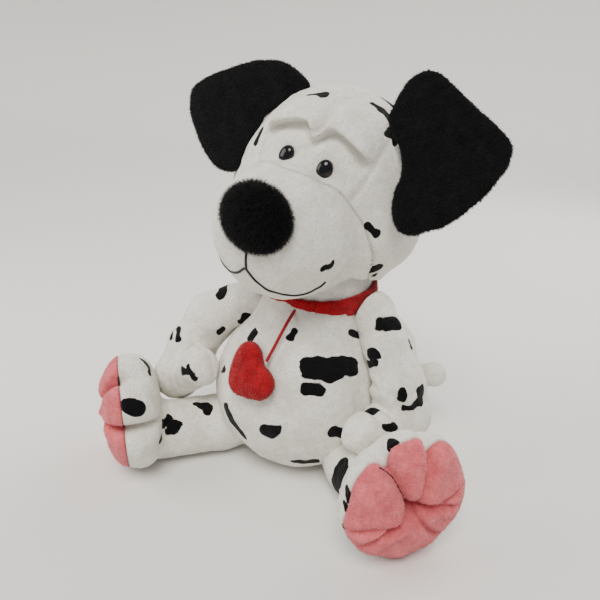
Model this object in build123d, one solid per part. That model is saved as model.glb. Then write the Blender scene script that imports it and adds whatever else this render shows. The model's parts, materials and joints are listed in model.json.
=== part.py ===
from build123d import *
import math
import os

# A seated plush dog with splayed legs, floppy ears and a heart on a cord.
# Millimetres.  The dog faces -Y, its own left is +X, +Z is up.
# The origin is the centre of the flat seat, on the surface it sits on.

WALL = 2.5            # plush fabric with its pile
SLACK = 0.2           # stuffing is drawn this much inside its cover
GAP = 0.45            # clearance between parts that move past each other
SEAM_TURN = 120       # each piece of a limb is turned this much from the last

# Torso: height, half width, half depth, and how far the middle leans left and back.
TORSO = [(0, 33, 30, 0, 0), (11, 45, 41.5, 0, 0), (29, 57.5, 53, 0, 0), (51, 60.8, 56.2, 0, 0),
         (75, 55.6, 52.8, 1, 2.5), (98, 40, 40.5, 3, 10), (118, 34, 34, 5, 20)]

# Neck ball and collar, on the neck's own centre.
NECK = Vector(5, 20, 128)
NECK_BALL_R = 22
THREAD_R = 1.0        # strong thread that gathers the head's neck opening
SOCKET_R = NECK_BALL_R + 2 * THREAD_R + 3 * GAP
COLLAR_R = 38.5
COLLAR_T = 2.2
COLLAR_LOW, COLLAR_HIGH = 117, 126

# Head: a ball with a round muzzle.  Its own frame tilts and turns.
HEAD = Pos(7, 38, 196) * Rot(Z=-2) * Rot(Y=14) * Rot(X=-5)
CROWN_R = 59
MUZZLE = Vector(0, -58, -29)
MUZZLE_R = 43
NOSE = Vector(0, -97, -13)
NOSE_R, NOSE_DEPTH, NOSE_ROUND = 22, 13, 9
EYE_X, EYE_Z = 13.2, 14.5
EYE_R, EYE_SINK = 5.4, 1.4
SHANK_R, SHANK_LENGTH = 1.6, 14
WASHER_R, WASHER_T = 6.0, 1.4

# Outlines on the face, seen from straight in front of the head (x, z).
FACE_PANEL = [(-36, 24), (-31, -4), (31, -4), (36, 24), (22, 36), (0, 31), (-22, 36)]
BROW_FOLD = [(-37, 24), (-18, 31), (-9, 36), (0, 28), (9, 36), (20, 33), (37, 23),
             (35, 31), (20, 41), (9, 46), (0, 38), (-9, 46), (-20, 40), (-35, 31)]
BROW_HEIGHT = 3.5
MOUTH = [(0, -35), (0, -47), (8, -53), (22, -58), (34, -51), (40, -40)]
THREAD_PROUD = 0.8

# Ears: leaf outlines in the plane of each ear, across and up from the plane's origin.
EAR_T = 2.6           # one layer of the two
EAR_SLOPE = 0.35      # how far the ear plane leans back per millimetre of height
EAR_ROOT_R = 6
EARS = {
    "left": {
        "depth": -21.9,
        "root": Vector(33.5, -20, 47.5),
        "leaf": [(33, 3), (36, 27), (48, 36), (68, 27), (98, 15), (105, 3), (101, -18),
                 (91, -38), (72, -55), (61, -54), (54, -41), (52, -24), (44, -9)],
    },
    "right": {
        "depth": -13.9,
        "root": Vector(-33.5, -14, 48.5),
        "leaf": [(-34, 3), (-47, 8), (-61, 10), (-79, 2), (-102, -15), (-109, -27), (-101, -42),
                 (-79, -61), (-66, -66), (-57, -61), (-57, -40), (-55, -22), (-46, -8)],
    },
}

# Limbs: ball centres and radii along each arm, then the tail.
ARMS = {
    "left": [(Vector(53.5, 14, 107.5), 12.5), (Vector(75, 6, 92.5), 14), (Vector(80, -4, 54), 15),
             (Vector(62, -40, 51.5), 10)],
    "right": [(Vector(-44, 4, 107), 12.5), (Vector(-76, -6, 90), 15), (Vector(-88, -28, 50.5), 14),
              (Vector(-59, -38, 71), 10.5)],
}
TAIL = [(Vector(4, 58.5, 26), 8), (Vector(32, 72.5, 26), 8), (Vector(60, 66, 36), 7.5),
        (Vector(79, 54, 49), 6.5)]

# Legs: measured outwards from the hip along each leg, which is splayed from straight ahead.
LEG_SPLAY = 48.6
HIP = Vector(52.5, -27.8, 20.3)
LEG_R, ANKLE_R = 20, 21.5
ANKLE_REACH, ANKLE_Z = 48, 21.8
FOOT_REACH, FOOT_R, FOOT_DEPTH, FOOT_ROUND = 59.5, 40.6, 17, 13
SOLE_START = 6        # the sole is the cap of the foot beyond this distance from its middle
TOE_THREAD = 1.6      # width of the doubled thread pulled between the toes
TOE_GAPS = (-24, 20)  # degrees from straight up, seen from in front

# Heart and its cord.
HEART = Vector(-11, -52, 84.5)
HEART_NORMAL = Vector(-0.19, -0.80, 0.57)
HEART_TURN = -46
HEART_LOBE_R, HEART_LOBE_X, HEART_TIP = 11, 10.5, 17
HEART_SKIN = 1.6
HEART_PUFF, HEART_DOME_R = 6.5, 60   # half thickness, and radius of the ball that domes each face
CORD_D = 2.2
CORD_ROUTE = [Vector(5, -19.2, 119), Vector(4.6, -26.8, 115.8), Vector(3.2, -34.8, 109.4),
              Vector(1.2, -41.8, 101.4), Vector(-1.4, -48, 93.4)]


def pillow(radius, half_depth, round_radius):
    """Flat round pillow about Z with a rounded rim."""
    disc = Cylinder(radius, 2 * half_depth)
    return fillet(disc.edges().filter_by(GeomType.CIRCLE), round_radius)


def crown(grow=0.0):
    """Crown of the head in the head's frame, grown or shrunk all round."""
    return Sphere(CROWN_R + grow)


def muzzle(grow=0.0):
    """Round muzzle in front of the crown."""
    return Pos(MUZZLE) * Sphere(MUZZLE_R + grow)


def nose(grow=0.0):
    """Fluffy nose pad on the front of the muzzle."""
    return Pos(NOSE) * Rot(X=90) * pillow(NOSE_R + grow, NOSE_DEPTH + grow, NOSE_ROUND + grow)


def limb(a, radius_a, b, radius_b, turn=0):
    """Two balls and the cone that is tangent to both, turned about their line."""
    length = (b - a).length
    lean = math.asin((radius_a - radius_b) / length)
    tangent = Vector(math.cos(lean), math.sin(lean))
    start = tangent * radius_a
    stop = Vector(0, length) + tangent * radius_b
    low = Vector(math.cos((lean - math.pi / 2) / 2), math.sin((lean - math.pi / 2) / 2)) * radius_a
    high = Vector(math.cos((lean + math.pi / 2) / 2), math.sin((lean + math.pi / 2) / 2)) * radius_b
    outline = [ThreePointArc((0, -radius_a), low, start), Line(start, stop),
               ThreePointArc(stop, Vector(0, length) + high, (0, length + radius_b)),
               Line((0, length + radius_b), (0, -radius_a))]
    solid = revolve(Plane.XZ * make_face(outline), Axis.Z)
    return Plane(origin=a, z_dir=b - a).location * Rot(Z=turn) * solid


def chain(balls, shrink=0.0):
    """Limb through a row of balls, each pair joined by a cone.

    Each piece is turned from the last, which keeps the seams of their surfaces apart.
    """
    pieces = []
    for index, ((a, radius_a), (b, radius_b)) in enumerate(zip(balls, balls[1:])):
        pieces.append(limb(a, radius_a - shrink, b, radius_b - shrink, turn=SEAM_TURN * index))
    return pieces[0].fuse(*pieces[1:]).clean()


def torso(shrink=0.0):
    """Lofted torso with a flat seat, drawn in all round by shrink."""
    lowest, highest = TORSO[0][0] + shrink, TORSO[-1][0] - shrink
    sections = []
    for z, width, depth, left, back in TORSO:
        height = min(max(z, lowest), highest)
        sections.append(Pos(left, back, height) * Ellipse(width - shrink, depth - shrink))
    return loft(sections)


def head_prism(outline, reach=140):
    """Front-facing prism through the face, from the head's middle forwards."""
    face = make_face(Polyline(*outline, close=True))
    return extrude(Plane.XZ * face, amount=reach)


def ribbon_prism(points, width, reach=140):
    """Front-facing prism that follows a line on the face, with round corners."""
    strokes = []
    for start, stop in zip(points, points[1:]):
        strokes.append(SlotCenterToCenter((Vector(stop) - Vector(start)).length, width))
        middle = (Vector(stop) + Vector(start)) / 2
        turn = math.degrees(math.atan2(stop[1] - start[1], stop[0] - start[0]))
        strokes[-1] = Pos(middle) * Rot(Z=turn) * strokes[-1]
    face = strokes[0].fuse(*strokes[1:])
    return extrude(Plane.XZ * face, amount=reach)


def whole(shape):
    """A shape's solids as one solid, or as one group of solids."""
    pieces = shape if isinstance(shape, list) else [shape]
    solids = [solid for piece in pieces for solid in piece.solids()]
    return solids[0] if len(solids) == 1 else Compound(children=solids)


os.makedirs("parts", exist_ok=True)
parts = {}

# ---- Torso, with dished seats for the limbs -------------------------------------------------
sockets = [Pos(NECK) * Sphere(SOCKET_R), Pos(TAIL[0][0]) * Sphere(TAIL[0][1] + GAP)]
sockets += [Pos(arm[0][0]) * Sphere(arm[0][1] + GAP) for arm in ARMS.values()]
sockets += [Pos(side * HIP.X, HIP.Y, HIP.Z) * Sphere(LEG_R + GAP) for side in (-1, 1)]
seats = sockets[0].fuse(*sockets[1:])
deep_seats = [Pos(NECK) * Sphere(SOCKET_R + WALL)]
deep_seats.append(Pos(TAIL[0][0]) * Sphere(TAIL[0][1] + GAP + WALL))
deep_seats += [Pos(arm[0][0]) * Sphere(arm[0][1] + GAP + WALL) for arm in ARMS.values()]
deep_seats += [Pos(side * HIP.X, HIP.Y, HIP.Z) * Sphere(LEG_R + GAP + WALL) for side in (-1, 1)]
seat_backs = deep_seats[0].fuse(*deep_seats[1:])

body_filling = torso(WALL) - seat_backs
parts["body_cover"] = torso() - seats - body_filling
parts["body_stuffing"] = torso(WALL + SLACK) - seat_backs

# ---- Neck: a stuffed ball, and the thread that gathers the opening over it -------------------
parts["neck_stuffing"] = Pos(NECK) * Sphere(NECK_BALL_R)
ring_angle = math.radians(60)
ring_reach = NECK_BALL_R + GAP + THREAD_R
neck_ring = Torus(ring_reach * math.sin(ring_angle), THREAD_R)
neck_ring = Pos(0, 0, ring_reach * math.cos(ring_angle)) * neck_ring
parts["neck_gathering_thread"] = Pos(NECK) * neck_ring

collar_height = COLLAR_HIGH - COLLAR_LOW
collar_ring = Cylinder(COLLAR_R, collar_height) - Cylinder(COLLAR_R - COLLAR_T, collar_height)
parts["collar"] = Pos(NECK.X, NECK.Y, (COLLAR_HIGH + COLLAR_LOW) / 2) * collar_ring

# ---- Head, made in its own frame ------------------------------------------------------------
neck_in_head = HEAD.inverse() * Pos(NECK)
neck_socket = neck_in_head * Sphere(SOCKET_R)
neck_socket_back = neck_in_head * Sphere(SOCKET_R + WALL)
ear_sockets = [Pos(ear["root"]) * Sphere(EAR_ROOT_R + GAP) for ear in EARS.values()]
ear_socket_backs = [Pos(ear["root"]) * Sphere(EAR_ROOT_R + GAP + WALL) for ear in EARS.values()]

head = {}
head_filling = (crown(-WALL) - neck_socket_back).cut(*ear_socket_backs)
shell = (crown() - head_filling - muzzle() - neck_socket).cut(*ear_sockets)
panel_prism = head_prism(FACE_PANEL)
eye_balls, shanks, pockets = [], [], []
for side, name in ((1, "left"), (-1, "right")):
    outward = Vector(side * EYE_X, -math.sqrt(CROWN_R ** 2 - EYE_X ** 2 - EYE_Z ** 2), EYE_Z)
    place = Plane(origin=outward, x_dir=(1, 0, 0), z_dir=outward).location
    ball = place * Pos(0, 0, -EYE_SINK) * Sphere(EYE_R)
    shank = place * Pos(0, 0, 1 - SHANK_LENGTH / 2) * Cylinder(SHANK_R, SHANK_LENGTH)
    back = Box(4 * EYE_R, 4 * EYE_R, 2 * EYE_R, align=(Align.CENTER, Align.CENTER, Align.MAX))
    back = place * back
    head[f"eye_{name}"] = (ball - back) + shank
    washer = Cylinder(WASHER_R, WASHER_T) - Cylinder(SHANK_R, WASHER_T)
    head[f"eye_washer_{name}"] = place * Pos(0, 0, -WALL - 2 * WASHER_T) * washer
    eye_balls.append(ball)
    shanks.append(shank)
    pocket = Cylinder(WASHER_R + SLACK, SHANK_LENGTH)
    pockets.append(place * Pos(0, 0, -SHANK_LENGTH / 2 - WALL) * pocket)
head["head_cover"] = shell - panel_prism
head["face_panel"] = (shell & panel_prism).cut(*shanks)
head["muzzle_cover"] = (muzzle() - muzzle(-WALL) - crown(-WALL) - neck_socket).cut(*eye_balls)
head["head_stuffing"] = (crown(-WALL - SLACK) - neck_socket_back).cut(*ear_socket_backs, *pockets)
head["muzzle_stuffing"] = (muzzle(-WALL - SLACK) - crown() - neck_socket_back).cut(*eye_balls)
head["brow_fold"] = (crown(BROW_HEIGHT) - crown()) & head_prism(BROW_FOLD)

mirrored_mouth = [(-x, z) for x, z in MOUTH[1:]]
mouth_prism = ribbon_prism(MOUTH, 2 * THREAD_R) + ribbon_prism(mirrored_mouth, 2 * THREAD_R)
head["mouth_thread"] = (muzzle(THREAD_PROUD) - muzzle()) & Pos(0, MUZZLE.Y, 0) * mouth_prism

head["nose_cover"] = nose() - nose(-WALL) - muzzle(THREAD_PROUD)
head["nose_stuffing"] = nose(-WALL - SLACK) - muzzle(THREAD_PROUD)

for name, ear in EARS.items():
    lean = Vector(0, -1, EAR_SLOPE)
    ear_plane = Plane(origin=(0, ear["depth"], ear["root"].Z - 1.5), x_dir=(1, 0, 0), z_dir=lean)
    leaf = make_face(Spline(*ear["leaf"], periodic=True))
    front = ear_plane.location * extrude(leaf, amount=EAR_T)
    back = ear_plane.location * extrude(leaf, amount=-EAR_T)
    head[f"ear_{name}_front"] = front
    head[f"ear_{name}_back"] = (back + Pos(ear["root"]) * Sphere(EAR_ROOT_R)) - front

for name, piece in head.items():
    parts[name] = HEAD * piece

# ---- Arms and tail --------------------------------------------------------------------------
for name, balls in ARMS.items():
    parts[f"arm_{name}_cover"] = chain(balls) - chain(balls, WALL)
    parts[f"arm_{name}_stuffing"] = chain(balls, WALL + SLACK)
parts["tail_cover"] = chain(TAIL) - chain(TAIL, WALL)
parts["tail_stuffing"] = chain(TAIL, WALL + SLACK)


# ---- Legs, each made along +X from its hip, then splayed ------------------------------------
def leg(shrink=0.0):
    """Leg and foot along +X from the hip, on the level of the surface."""
    hip = Vector(0, 0, HIP.Z)
    ankle = Vector(ANKLE_REACH, 0, ANKLE_Z)
    shin = limb(hip, LEG_R - shrink, ankle, ANKLE_R - shrink)
    return shin + foot(-shrink)


def foot(grow=0.0):
    """Upright round pillow that stands on its rim at the end of the leg."""
    disc = pillow(FOOT_R + grow, FOOT_DEPTH + grow, FOOT_ROUND + grow)
    return Pos(FOOT_REACH, 0, FOOT_R) * Rot(Y=90) * disc


def toe_threads():
    """Two thread loops pulled over the top of the foot, between the toes."""
    skin = foot(THREAD_PROUD) - foot()
    loops = []
    for angle in TOE_GAPS:
        slab = Box(2 * FOOT_DEPTH, TOE_THREAD, FOOT_R, align=(Align.CENTER, Align.CENTER, Align.MIN))
        slab = Pos(FOOT_REACH, 0, FOOT_R) * Rot(X=angle) * Pos(0, 0, 0.55 * FOOT_R) * slab
        loops.append(skin & slab)
    return loops[0] + loops[1]


sole_side = Box(100, 200, 200, align=(Align.MIN, Align.CENTER, Align.CENTER))
sole_side = Pos(FOOT_REACH + SOLE_START, 0, 0) * sole_side
leg_shell = leg() - leg(WALL)
leg_parts = {
    "cover": leg_shell - sole_side,
    "sole": leg_shell & sole_side,
    "stuffing": leg(WALL + SLACK),
    "toe_threads": toe_threads(),
}
for side, name in ((1, "left"), (-1, "right")):
    heading = LEG_SPLAY - 90 if side > 0 else -90 - LEG_SPLAY
    stand = Pos(side * HIP.X, HIP.Y, 0) * Rot(Z=heading)
    for kind, piece in leg_parts.items():
        parts[f"leg_{name}_{kind}"] = stand * piece

# ---- Heart and cord -------------------------------------------------------------------------
heart_plane = Plane(origin=HEART, x_dir=(1, -0.15, 0.11), z_dir=HEART_NORMAL)
heart_place = heart_plane.location * Rot(Z=HEART_TURN)


def heart_face(shrink=0.0):
    """Rounded heart outline, lobes up, tip down."""
    lobe = HEART_LOBE_R - shrink
    circles = [Pos(side * HEART_LOBE_X, 3) * Circle(lobe) for side in (-1, 1)]
    circles.append(Pos(0, 4 - HEART_TIP) * Circle(4.5 - shrink))
    edges = [edge for circle in circles for edge in circle.edges()]
    notch = Pos(0, HEART_LOBE_R + 8) * Circle(6 + shrink)
    return make_hull(edges) - notch


def heart_lens(shrink=0.0):
    """Heart-shaped pillow: the outline, domed on both faces."""
    slab = extrude(heart_face(shrink), amount=HEART_PUFF, both=True)
    for side in (-1, 1):
        middle = side * (HEART_PUFF - HEART_DOME_R)
        slab = slab & Pos(0, 0, middle) * Sphere(HEART_DOME_R - shrink)
    return slab


front_half = Box(100, 100, 100, align=(Align.CENTER, Align.CENTER, Align.MIN))
heart_shell = heart_lens() - heart_lens(HEART_SKIN)
parts["heart_front"] = heart_place * (heart_shell & front_half)
parts["heart_back"] = heart_place * (heart_shell - front_half)
parts["heart_stuffing"] = heart_place * heart_lens(HEART_SKIN + SLACK)


def route_radii(route):
    """Arc radius at each inner point: as large as its two runs allow."""
    radii = []
    for before, at, after in zip(route, route[1:], route[2:]):
        turn = (at - before).get_angle(after - at)
        shorter = min((at - before).length, (after - at).length)
        radii.append(0.45 * shorter / math.tan(math.radians(turn) / 2))
    return radii


radii = route_radii(CORD_ROUTE)
cord_path = FilletPolyline(*CORD_ROUTE, radius=radii)
cord_end = Plane(origin=cord_path @ 0, z_dir=cord_path % 0)
parts["heart_cord"] = sweep(cord_end * Circle(CORD_D / 2), path=cord_path)
print("cord radii", [round(radius, 1) for radius in radii])
print("cord length", round(cord_path.length, 2))
print("cord volume", round(parts["heart_cord"].volume, 1),
      "section times length", round(math.pi * CORD_D ** 2 / 4 * cord_path.length, 1))

for name, shape in parts.items():
    export_step(whole(shape), f"parts/{name}.step")
print(len(parts), "parts")
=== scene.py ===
import json
import math

import bmesh
import bpy
import numpy as np
from mathutils import Matrix, Vector


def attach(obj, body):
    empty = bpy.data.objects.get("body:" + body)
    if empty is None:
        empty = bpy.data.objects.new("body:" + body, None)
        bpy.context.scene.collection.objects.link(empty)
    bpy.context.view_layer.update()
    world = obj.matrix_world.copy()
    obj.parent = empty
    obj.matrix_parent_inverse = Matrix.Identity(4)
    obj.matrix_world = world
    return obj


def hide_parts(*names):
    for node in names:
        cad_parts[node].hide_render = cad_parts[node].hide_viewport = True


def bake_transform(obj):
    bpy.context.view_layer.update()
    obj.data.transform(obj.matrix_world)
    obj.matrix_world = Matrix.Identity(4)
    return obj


# A seated plush dog.  Shapes are worked out in millimetres, in the frame of the CAD part, as
# fields that are negative inside, and are meshed with a surface net.  Blender's units are metres.

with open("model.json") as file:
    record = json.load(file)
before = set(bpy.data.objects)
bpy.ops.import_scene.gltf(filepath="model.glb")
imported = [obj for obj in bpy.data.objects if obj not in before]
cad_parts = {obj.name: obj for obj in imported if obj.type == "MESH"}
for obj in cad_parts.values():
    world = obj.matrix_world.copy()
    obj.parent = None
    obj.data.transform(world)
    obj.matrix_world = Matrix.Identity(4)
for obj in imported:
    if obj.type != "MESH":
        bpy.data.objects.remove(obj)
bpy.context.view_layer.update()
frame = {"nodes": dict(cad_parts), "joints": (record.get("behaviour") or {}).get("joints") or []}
MM = 0.001
JOINTS = {joint["name"]: joint for joint in frame["joints"]}


def joint_place(name):
    """Where a joint is, in millimetres."""
    return np.array(JOINTS[name]["pos_m"]) / MM


# ---- Camera and light ----
CAMERA_AT = (174.2, -358.8, 295.2)
CAMERA_LOOKS_AT = (-1, 0, 117)
CAMERA_LENS = 38.6          # on a sensor 36 mm wide


def aim(thing, place, target):
    """Puts a camera or lamp at a place in millimetres, looking at another."""
    thing.location = Vector(place) * MM
    thing.rotation_euler = (Vector(target) - Vector(place)).to_track_quat("-Z", "Y").to_euler()


def new_object(name, data):
    thing = bpy.data.objects.new(name, data)
    bpy.context.collection.objects.link(thing)
    return thing


def make_camera():
    camera = new_object("camera", bpy.data.cameras.new("camera"))
    camera.data.lens = CAMERA_LENS
    camera.data.sensor_width = 36
    camera.data.clip_start = 0.01
    aim(camera, CAMERA_AT, CAMERA_LOOKS_AT)
    bpy.context.scene.camera = camera


make_camera()


# ---- Nodes for materials ----
class Shade:
    """A material's node tree, with short ways to add nodes to it."""

    def __init__(self, name, roughness=0.9, sheen=0.0, specular=0.3, coat=0.0):
        self.material = bpy.data.materials.new(name)
        self.material.use_nodes = True
        self.nodes = self.material.node_tree.nodes
        self.links = self.material.node_tree.links
        self.shader = self.nodes["Principled BSDF"]
        self.shader.inputs["Roughness"].default_value = roughness
        self.shader.inputs["Specular IOR Level"].default_value = specular
        self.shader.inputs["Sheen Weight"].default_value = sheen
        self.shader.inputs["Sheen Roughness"].default_value = 0.45
        self.shader.inputs["Coat Weight"].default_value = coat
        self.shader.inputs["Coat Roughness"].default_value = 0.05

    def add(self, kind, inputs=None, **settings):
        """Adds a node.  Inputs are numbers, colours or sockets to link from."""
        node = self.nodes.new(kind)
        for key, value in settings.items():
            setattr(node, key, value)
        for key, value in (inputs or {}).items():
            if isinstance(value, bpy.types.NodeSocket):
                self.links.new(value, node.inputs[key])
            else:
                node.inputs[key].default_value = value
        return node

    def attribute(self, name):
        return self.add("ShaderNodeAttribute", attribute_name=name)

    def rest_place(self):
        """The point's place at rest, which add_piece stores with each piece."""
        return self.attribute("rest").outputs["Vector"]

    def object_place(self):
        return self.add("ShaderNodeTexCoord").outputs["Object"]

    def noise(self, scale, detail=3.0, roughness=0.55, place=None):
        place = place or self.rest_place()
        node = self.add("ShaderNodeTexNoise", {"Vector": place, "Scale": scale, "Detail": detail,
                                               "Roughness": roughness})
        return node.outputs["Fac"]

    def math(self, operation, a, b=0.0):
        return self.add("ShaderNodeMath", {0: a, 1: b}, operation=operation).outputs[0]

    def smooth(self, value, low, high):
        """0 where value is under low, 1 over high, smooth between."""
        node = self.add("ShaderNodeMapRange", {"Value": value, "From Min": low, "From Max": high},
                        interpolation_type="SMOOTHSTEP")
        return node.outputs["Result"]

    def mix(self, share, a, b):
        node = self.add("ShaderNodeMix", data_type="RGBA")
        for socket, value in ((node.inputs[0], share), (node.inputs[6], a), (node.inputs[7], b)):
            if isinstance(value, bpy.types.NodeSocket):
                self.links.new(value, socket)
            else:
                socket.default_value = value
        return node.outputs[2]

    def colour(self, socket):
        self.links.new(socket, self.shader.inputs["Base Color"])

    def bump(self, height, distance, strength=1.0):
        node = self.add("ShaderNodeBump", {"Height": height, "Distance": distance,
                                           "Strength": strength})
        self.links.new(node.outputs["Normal"], self.shader.inputs["Normal"])


def rgb(red, green, blue):
    return (red, green, blue, 1.0)


BLACK_PILE = rgb(0.003, 0.003, 0.0035)


def pile_height(shade, fine, coarse):
    """Short pile: tufts at the fine scale over brushed patches at the coarse one."""
    tufts = shade.noise(fine, 2.0, 0.7)
    patches = shade.noise(coarse, 3.0, 0.6)
    return shade.math("ADD", shade.math("MULTIPLY", tufts, 0.6), patches)


def white_plush_material():
    shade = Shade("white_plush", roughness=0.9, sheen=0.08, specular=0.12)
    patches = shade.noise(95, 4.0, 0.65)
    tufts = shade.noise(620, 3.0, 0.7)
    tone = shade.mix(shade.smooth(patches, 0.33, 0.68), rgb(0.76, 0.73, 0.655), rgb(0.90, 0.88, 0.81))
    tone = shade.mix(shade.smooth(tufts, 0.25, 0.6), rgb(0.66, 0.635, 0.575), tone)
    # Painted shade: a per-point value darkens the plush where shade falls in seams, under the brow and
    # below the collar.
    painted_shade = shade.attribute("painted_shade").outputs["Fac"]
    tone = shade.mix(painted_shade, tone, rgb(0.46, 0.43, 0.37))
    spot = shade.attribute("spot").outputs["Fac"]
    ragged = shade.math("ADD", spot, shade.math("MULTIPLY", shade.noise(480, 2.0), 1.2))
    shade.colour(shade.mix(shade.smooth(ragged, 0.35, 0.95), BLACK_PILE, tone))
    shade.bump(pile_height(shade, 1000, 240), 0.0012, 0.85)
    return shade.material


def pile_material(name, dark, bright, fine=900, coarse=120, sheen=0.2):
    shade = Shade(name, roughness=0.92, sheen=sheen, specular=0.15)
    patches = shade.noise(coarse, 4.0, 0.65)
    tufts = shade.noise(fine, 3.0, 0.7)
    tone = shade.mix(shade.smooth(patches, 0.3, 0.7), dark, bright)
    tone = shade.mix(shade.smooth(tufts, 0.2, 0.6), dark, tone)
    # Painted shade: a per-point value darkens the pile where shade falls along seams and in hollows.
    painted_shade = shade.attribute("painted_shade").outputs["Fac"]
    shade.colour(shade.mix(painted_shade, tone, [0.55 * x for x in dark[:3]] + [1.0]))
    shade.bump(pile_height(shade, fine, coarse), 0.0012, 0.9)
    return shade.material


def strand_material(name, tone, roughness=0.75, sheen=0.3):
    shade = Shade(name, roughness=roughness, sheen=sheen, specular=0.2)
    shade.shader.inputs["Base Color"].default_value = tone
    return shade.material


def thread_material(name, dark, bright):
    shade = Shade(name, roughness=0.6, sheen=0.1, specular=0.3)
    twist = shade.noise(2500, 2.0, 0.5, shade.object_place())
    shade.colour(shade.mix(shade.smooth(twist, 0.3, 0.7), dark, bright))
    shade.bump(twist, 0.0003, 0.8)
    return shade.material


def cord_material():
    """Round cord: strands that cross it aslant."""
    shade = Shade("red_cord", roughness=0.75, sheen=0.2, specular=0.2)
    settings = {"Vector": shade.object_place(), "Scale": 420, "Distortion": 1.5}
    wave = shade.add("ShaderNodeTexWave", settings, bands_direction="DIAGONAL").outputs["Fac"]
    shade.colour(shade.mix(wave, rgb(0.20, 0.004, 0.008), rgb(0.50, 0.012, 0.022)))
    shade.bump(wave, 0.0005, 0.8)
    return shade.material


def eye_material():
    shade = Shade("eye_plastic", roughness=0.1, specular=0.3, coat=0.15)
    dust = shade.noise(900, 2.0, 0.5, shade.object_place())
    shade.colour(shade.mix(shade.smooth(dust, 0.6, 0.9), rgb(0.004, 0.004, 0.005), rgb(0.02, 0.017, 0.014)))
    return shade.material


def plastic_material():
    shade = Shade("washer_plastic", roughness=0.45, specular=0.4)
    haze = shade.noise(300, 3.0, 0.5, shade.object_place())
    shade.colour(shade.mix(haze, rgb(0.72, 0.71, 0.67), rgb(0.86, 0.85, 0.82)))
    shade.bump(haze, 0.0001, 0.3)
    return shade.material


MATERIALS = {
    "white_plush": white_plush_material(),
    "black_plush": pile_material("black_plush", rgb(0.0015, 0.0015, 0.0018), rgb(0.006, 0.006, 0.007),
                                 sheen=0.04),
    "black_fur": pile_material("black_fur", rgb(0.001, 0.001, 0.001), rgb(0.004, 0.004, 0.0045),
                               sheen=0.04),
    "red_plush": pile_material("red_plush", rgb(0.22, 0.002, 0.007), rgb(0.46, 0.006, 0.014)),
    "pink_plush": pile_material("pink_plush", rgb(0.56, 0.10, 0.115), rgb(0.84, 0.205, 0.22)),
    "fibre_fill": pile_material("fibre_fill", rgb(0.70, 0.70, 0.68), rgb(0.88, 0.88, 0.87), 700, 160),
    "black_thread": thread_material("black_thread", rgb(0.004, 0.004, 0.005), rgb(0.02, 0.02, 0.022)),
    "white_thread": thread_material("white_thread", rgb(0.6, 0.6, 0.57), rgb(0.85, 0.85, 0.82)),
    "red_cord": cord_material(),
    "eye_plastic": eye_material(),
    "washer_plastic": plastic_material(),
}
STRANDS = {
    "black_plush": strand_material("black_pile", rgb(0.004, 0.004, 0.0045), 0.8, 0.05),
    "black_fur": strand_material("black_fur_strands", rgb(0.003, 0.003, 0.0035), 0.6, 0.05),
    "red_plush": strand_material("red_pile", rgb(0.44, 0.005, 0.012)),
    "pink_plush": strand_material("pink_pile", rgb(0.82, 0.23, 0.245)),
}


def link(name, data, slot, body=None, replaced=(), material=None):
    """Puts a piece in the scene, with its material slot and the CAD body that it rides on."""
    data.materials.append(material or MATERIALS[slot])
    piece = new_object(name, data)
    if body:
        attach(piece, body)
    if replaced:
        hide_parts(*replaced)
    return piece


def round_curve(name, kind, line, radius, resolution=3):
    """A curve of round section through places in millimetres, and its spline."""
    curve = bpy.data.curves.new(name, "CURVE")
    curve.dimensions = "3D"
    spline = curve.splines.new(kind)
    spline.points.add(len(line) - 1)
    for point, place in zip(spline.points, line):
        point.co = (*(MM * x for x in place), 1)
    curve.bevel_depth = radius * MM
    curve.bevel_resolution = resolution
    curve.use_fill_caps = True
    return curve, spline


# ---- Fields ----
def turn_matrix(x=0.0, y=0.0, z=0.0):
    """Turn about X, then Y, then Z, in degrees."""
    turned = Matrix.Rotation(math.radians(z), 3, "Z") @ Matrix.Rotation(math.radians(y), 3, "Y")
    return np.array(turned @ Matrix.Rotation(math.radians(x), 3, "X"))


def unit(vector):
    vector = np.array(vector, float)
    return vector / np.linalg.norm(vector)


def step(value, low, high):
    """Smooth step from 0 at low to 1 at high."""
    t = np.clip((value - low) / (high - low), 0, 1)
    return t * t * (3 - 2 * t)


def bell(distance, width):
    return np.exp(-(distance / width) ** 2)


def join(a, b, soft):
    """Union of two fields with a soft fillet."""
    h = np.clip(0.5 + 0.5 * (b - a) / soft, 0, 1)
    return b + (a - b) * h - soft * h * (1 - h)


def trim(a, b, soft):
    """The part that is inside both fields, with a soft edge."""
    return -join(-a, -b, soft)


def ball(p, centre, radii, turn=None):
    """Ellipsoid."""
    q = p - np.array(centre, float)
    if turn is not None:
        q = q @ turn
    radii = np.array(radii, float)
    k0 = np.linalg.norm(q / radii, axis=1)
    k1 = np.linalg.norm(q / radii ** 2, axis=1) + 1e-9
    return k0 * (k0 - 1) / k1


def along(p, a, b):
    """Share of the way from a to b nearest each point, and the distance to it."""
    a, b = np.array(a, float), np.array(b, float)
    run = b - a
    t = np.clip(((p - a) @ run) / (run @ run), 0, 1)
    return t, np.linalg.norm(p - a - t[:, None] * run, axis=1)


def tube(p, a, radius_a, b, radius_b):
    t, distance = along(p, a, b)
    return distance - (radius_a + (radius_b - radius_a) * t)


def chain(p, balls, soft):
    """Soft tube through a row of (centre, radius)."""
    field = None
    for (a, radius_a), (b, radius_b) in zip(balls, balls[1:]):
        piece = tube(p, a, radius_a, b, radius_b)
        field = piece if field is None else join(field, piece, soft)
    return field


def to_line(p, points):
    """Distance to a polyline, in as many dimensions as it has."""
    best = None
    for a, b in zip(points, points[1:]):
        distance = along(p, a, b)[1]
        best = distance if best is None else np.minimum(best, distance)
    return best


LUMP_WAVES = 7


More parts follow.
